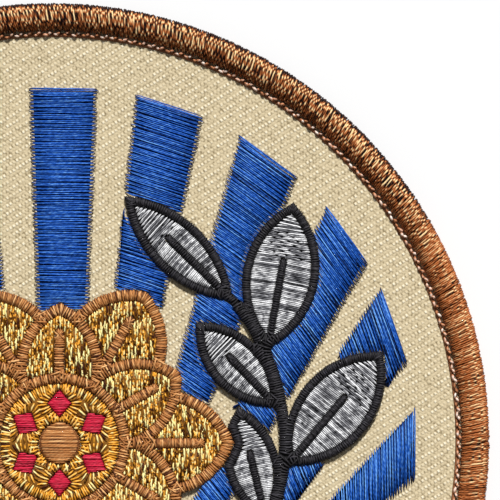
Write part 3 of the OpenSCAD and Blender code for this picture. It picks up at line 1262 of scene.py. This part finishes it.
@dataclass
class ChainRow(Sewn):
    """The chain that locks the border's threads: a long loop and a knot for each link.

    Its middle lies inset from its node's outer edge, and the ends of its threads stray by stray_onward of a link
    along it and by stray_outward across it.
    """

    links: int = 268
    inset: float = 0.28
    loop: Lane = Lane(begin=(0.02, 0.0), end=(-0.10, -0.62), width=0.31, crown=0.30)
    knot: Lane = Lane(begin=(-0.02, -0.44), end=(0.32, -0.98), width=0.32, crown=0.36)
    stray_onward: float = 0.05
    stray_outward: float = 0.04

    def threads(self, plan: Plan, rng: Random) -> list[Parts]:
        """Lays loops and knots round the patch.

        Args:
            plan: The chain's plan.
            rng: Where the unevenness comes from.

        Returns:
            The parts of the loops and of the knots.
        """
        parts = [self._laid(lane, plan.ground, rng) for lane in (self.loop, self.knot)]
        for number, part in enumerate(parts):
            part.cell[:, 0] = (part.cell[:, 0] + number) / len(parts)
        return parts

    def _laid(self, lane: Lane, ground: float, rng: Random) -> Parts:
        """Lays one thread of every link.

        Args:
            lane: Which thread.
            ground: Height of the cloth.
            rng: Where the unevenness comes from.

        Returns:
            The threads' parts.
        """
        middle = (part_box(self.node)[1] / MM).x - self.inset
        link = np.arange(self.links)
        ends = []
        for outward, onward in (lane.begin, lane.end):
            angle = (link + onward + rng.normal(0, self.stray_onward, self.links)) * 2 * math.pi / self.links
            far = middle + outward + rng.normal(0, self.stray_outward, self.links)
            ends.append(np.stack([far * np.cos(angle), far * np.sin(angle)], axis=1))
        stitch = replace(self.stitch, width=lane.width, crown=lane.crown)
        return stitch.sewn(SHORT_STRAND, ends[0], ends[1], ground, rng)


@dataclass
class TwillDisc:
    """The cream twill with its backing: a disc drawn slightly into waves by the stitching.

    The waves rise and fall by wave. They run ripple_x and ripple_y radians a millimetre, in lines that bend_x and
    bend_y bend, by bend_more for those across. Their middle lies clear_top waves under the node's top, and the
    cloth is clear_both waves thinner than the node. Edges sharper than crease degrees stay sharp.
    """

    node: str = "twill_ground"
    cloth: TwillCloth = TwillCloth()
    film: BackFilm = BackFilm()
    radius: float = 48.0
    rings: int = 24
    spokes: int = 168
    wave: float = 0.02
    clear_top: int = 2
    clear_both: int = 3
    ripple_x: float = 0.83
    ripple_y: float = 0.67
    bend_x: float = 0.23
    bend_y: float = 0.31
    bend_more: float = 1.3
    crease: float = 40.0

    def build(self) -> None:
        """Draws the disc's rings inward, gives it waves and its thickness."""
        low, high = (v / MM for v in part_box(self.node))
        deselect_all()
        bpy.ops.mesh.primitive_circle_add(vertices=self.spokes, radius=self.radius * MM, fill_type="NOTHING")
        disc = bpy.context.object
        disc.name = disc.data.name = "twill_cloth"
        edit_all(disc)
        for ring in range(self.rings, 1, -1):
            inward = (ring - 1) / ring
            bpy.ops.mesh.extrude_region_move(TRANSFORM_OT_translate={"value": (0, 0, 0)})
            bpy.ops.transform.resize(value=(inward, inward, 1))
        bpy.ops.mesh.edge_face_add()
        bpy.ops.mesh.poke()
        bpy.ops.mesh.select_all(action="SELECT")
        bpy.ops.mesh.normals_make_consistent(inside=False)
        bpy.ops.object.mode_set(mode="OBJECT")
        if disc.data.polygons[0].normal.z < 0:
            disc.data.flip_normals()
        self._wave(disc, high.z - self.clear_top * self.wave)
        thickness = disc.modifiers.new("thickness", "SOLIDIFY")
        thickness.thickness = (high.z - low.z - self.clear_both * self.wave) * MM
        thickness.offset = -1.0
        select_only(disc)
        bpy.ops.object.modifier_apply(modifier=thickness.name)
        disc.data.materials.append(self.cloth.made())
        disc.data.materials.append(self.film.made())
        for face in disc.data.polygons:
            face.material_index = 1 if face.normal.z < -0.5 else 0
        bpy.ops.object.shade_smooth_by_angle(angle=math.radians(self.crease))
        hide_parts(self.node)
        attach(disc, BODY)
        log.info("%s: %d faces", disc.name, len(disc.data.polygons))

    def _wave(self, disc: bpy.types.Object, top: float) -> None:
        """Sets the cloth's height, with low waves.

        Args:
            disc: The cloth, still without its thickness.
            top: The height of the waves' middle.
        """
        for vertex in disc.data.vertices:
            x, y = vertex.co.x / MM, vertex.co.y / MM
            across = math.sin(x * self.ripple_x + self.bend_more * math.sin(y * self.bend_y))
            upward = math.sin(y * self.ripple_y + math.sin(x * self.bend_x))
            vertex.co.z = (top + self.wave * across * upward) * MM


@dataclass
class Studio:
    """Floor, light and camera: a scanner's view of the patch's upper right quarter."""

    aim: tuple[float, float, float] = (23.04, 22.15, 1.5)
    view_width: float = 58.14
    lens: float = 200.0
    sensor: float = 36.0
    nearest: float = 10.0
    floor_r: float = 600.0
    floor_sides: int = 96
    floor_hem: float = 60.0
    sun_height: float = 40.0
    sun_turn: float = 5.0
    sun_strength: float = 4.5
    sun_size: float = 8.0
    sky_strength: float = 0.14

    def build(self) -> None:
        """Puts all of it in the scene."""
        self._floor()
        self._light()
        self._camera()

    def _floor(self) -> None:
        """A plain round sheet under the patch."""
        deselect_all()
        bpy.ops.mesh.primitive_circle_add(vertices=self.floor_sides, radius=self.floor_r * MM, fill_type="NGON")
        floor = bpy.context.object
        floor.name = "floor"
        edit_all(floor)
        bpy.ops.mesh.inset(thickness=self.floor_hem * MM)
        bpy.ops.object.mode_set(mode="OBJECT")
        floor.data.materials.append(Paper().made())

    def _light(self) -> None:
        """A broad lamp beyond the top of the patch and a weak even sky."""
        lamp = bpy.data.lights.new("scanner_lamp", "SUN")
        lamp.energy = self.sun_strength
        lamp.angle = math.radians(self.sun_size)
        holder = bpy.data.objects.new("scanner_lamp", lamp)
        rise, turn = math.radians(self.sun_height), math.radians(self.sun_turn)
        toward = Vector((math.sin(turn) * math.cos(rise), math.cos(turn) * math.cos(rise), math.sin(rise)))
        holder.rotation_euler = toward.to_track_quat("Z", "Y").to_euler()
        bpy.context.scene.collection.objects.link(holder)
        sky = bpy.data.worlds.new("sky")
        sky.use_nodes = True
        sockets = sky.node_tree.nodes["Background"].inputs
        sockets["Color"].default_value = (1.0, 1.0, 1.0, 1.0)
        sockets["Strength"].default_value = self.sky_strength
        bpy.context.scene.world = sky
        bpy.context.scene.view_settings.view_transform = "Standard"

    def _camera(self) -> None:
        """Looks straight down on the aim."""
        camera = bpy.data.cameras.new("camera")
        camera.lens = self.lens
        camera.sensor_width = self.sensor
        camera.clip_start = self.nearest * MM
        holder = bpy.data.objects.new("camera", camera)
        distance = self.view_width * self.lens / self.sensor
        x, y, z = self.aim
        holder.location = Vector((x, y, z + distance)) * MM
        bpy.context.scene.collection.objects.link(holder)
        bpy.context.scene.camera = holder


# Padding that reaches a little under the outline beside it, padding that does so lower down and is painted in the
# darkest shade, and padding that keeps well inside its threads. Every padding is painted dark, as the shadow seen
# between its threads.
UNDERLAP = {"pad_inset": -0.08, "pad_foot": -0.02}
LOW_UNDERLAP = {**UNDERLAP, "pad_share": 0.3, "pad_shade": -1.0}
DRAWN_IN = {"pad_inset": 0.6, "pad_foot": 0.42, "pad_share": 0.4}
# end_shade and end_glint paint shade and highlights at the thread ends, and fall paints the rays' sheen.
RAY_STITCH = Stitch(pitch=0.205, width=0.17, thick=0.20, crown=0.40, rise=0.8, pinch=0.10, overhang=0.38,
                    tone=0.08, tip=0.4, end_shade=2.0, fall=0.55)
LEAF_STITCH = Stitch(pitch=0.2, width=0.17, thick=0.2, crown=0.28, rise=0.2, base=0.18, pinch=0.095, overhang=0.15,
                     sway=0.012, length=2.9, end_shade=1.0, end_glint=1.0)
PETAL_STITCH = Stitch(pitch=0.25, width=0.24, thick=0.26, crown=0.28, rise=0.2, base=0.2, overhang=0.2, length=1.5,
                      sway=0.09, tone=1.1, end_shade=1.0, end_glint=0.7)
LEAF_LINE = Stitch(pitch=0.28, width=0.23, thick=0.13, crown=0.52, rise=0.2, base=0.2, overhang=0.1, tone=0.15)
PETAL_LINE = Stitch(pitch=0.28, width=0.24, thick=0.12, crown=0.52, rise=0.22, base=0.2, overhang=0.12, tone=0.3)
BAND_STITCH = Stitch(pitch=0.30, width=0.24, thick=0.2, crown=0.42, rise=0.2, base=0.2, overhang=0.12, tone=0.5)
LOZENGE_STITCH = Stitch(pitch=0.2, width=0.25, thick=0.12, crown=0.38, rise=0.2, base=0.1, tone=0.2, length=9.0)
KNOB_STITCH = Stitch(pitch=0.2, width=0.26, thick=0.16, crown=0.55, rise=0.4, base=0.1, length=9.0, tone=0.25)
CHAIN_STITCH = Stitch(pitch=0.0, width=0.3, thick=0.30, crown=0.4, rise=0.12, tone=0.3, tip=0.4, end_shade=1.6,
                      end_glint=0.75)


class Direction(Enum):
    """Which way the rows of a fill run, in degrees from the patch's right."""

    LEVEL = 0.0
    UPRIGHT = 90.0


@dataclass
class Sprays:
    """The two leaf sprays: a black outline each, and grey leaves stitched square to their own length.

    The leaves stand on their stem every leaf_pitch degrees from first_leaf on, splayed in degrees from the stem's
    own direction: outward and inward in turn, and the last one at the tip.
    """

    leaves: int = 8
    first_leaf: float = -67.0
    leaf_pitch: float = 15.0
    outer_splay: float = 33.0
    inner_splay: float = 36.0
    tip_splay: float = 8.0

    def leaf_angle(self, number: int) -> float:
        """The direction of a leaf of the right spray.

        Args:
            number: The leaf's number, from 1 at the tie.

        Returns:
            Its direction in degrees.
        """
        turn = -self.outer_splay if number % 2 else self.inner_splay
        turn = self.tip_splay if number == self.leaves else turn
        return self.first_leaf + (number - 1) * self.leaf_pitch + 90 + turn

    def build(self) -> None:
        """Sews both sprays."""
        for side in SIDES:
            for number in range(1, self.leaves + 1):
                across = self.leaf_angle(number) - 90
                across = across if side == "right" else 180 - across
                RowFill(f"leaf_{side}_{number}", GREY_YARN, LEAF_STITCH, **LOW_UNDERLAP, angle=across).build()
            Contour(f"spray_outline_{side}", BLACK_YARN, LEAF_LINE, widest=1.5).build()


@dataclass
class Rosette:
    """The gold rosette: petals, their brown outline, the band with its lozenges, and the boss."""

    petals: int = 6

    def build(self) -> None:
        """Sews the rosette from the petals inward."""
        for number in range(1, self.petals + 1):
            for ring in ("inner", "outer"):
                RowFill(f"{ring}_petal_{number}", GOLD_YARN, PETAL_STITCH, **UNDERLAP,
                        angle=Direction.UPRIGHT.value).build()
            RowFill(f"lozenge_{number}", CRIMSON_YARN, LOZENGE_STITCH, angle=Direction.LEVEL.value).build()
        Contour("petal_outline", BROWN_YARN, PETAL_LINE, widest=1.8).build()
        Contour("lozenge_band", GOLD_YARN, BAND_STITCH, widest=1.3).build()
        RowFill("boss", BROWN_YARN, KNOB_STITCH, angle=Direction.LEVEL.value).build()


@dataclass
class Fan:
    """The blue rays with the gold foot that they rise from.

    From the upright ray outward each ray is more unevenly coloured by tone_step, at random with stronger painted
    highlights and shadows, up to the one numbered tone_rays.
    """

    side_rays: int = 7
    tone_step: float = 0.06
    tone_rays: int = 4

    def build(self) -> None:
        """Sews the rays from the middle outward, then the foot."""
        RaySatin("ray_0", BLUE_YARN, RAY_STITCH, **DRAWN_IN).build()
        for number in range(1, self.side_rays + 1):
            stitch = replace(RAY_STITCH, tone=RAY_STITCH.tone + self.tone_step * min(number, self.tone_rays))
            for side, turn in zip(SIDES, (1, -1)):
                RaySatin(f"ray_{side}_{number}", BLUE_YARN, stitch, **DRAWN_IN, number=turn * number).build()
        RowFill("fan_foot", GOLD_YARN, PETAL_STITCH, angle=Direction.UPRIGHT.value).build()
        RowFill("spray_tie", GOLD_YARN, KNOB_STITCH, angle=Direction.UPRIGHT.value).build()


def main() -> None:
    """Builds the patch from the cloth up, then the studio."""
    logging.basicConfig(level=logging.INFO, format="%(name)s: %(message)s")
    TwillDisc().build()
    BorderRoll().build()
    # The chain's padding is painted a lighter shade than the other paddings.
    ChainRow("border_chain", CHAIN_YARN, CHAIN_STITCH, pad_inset=0.2, pad_foot=0.14, pad_share=0.15,
             pad_shade=-0.6).build()
    Fan().build()
    Sprays().build()
    Rosette().build()
    Studio().build()


if __name__ == "__main__":
    main()
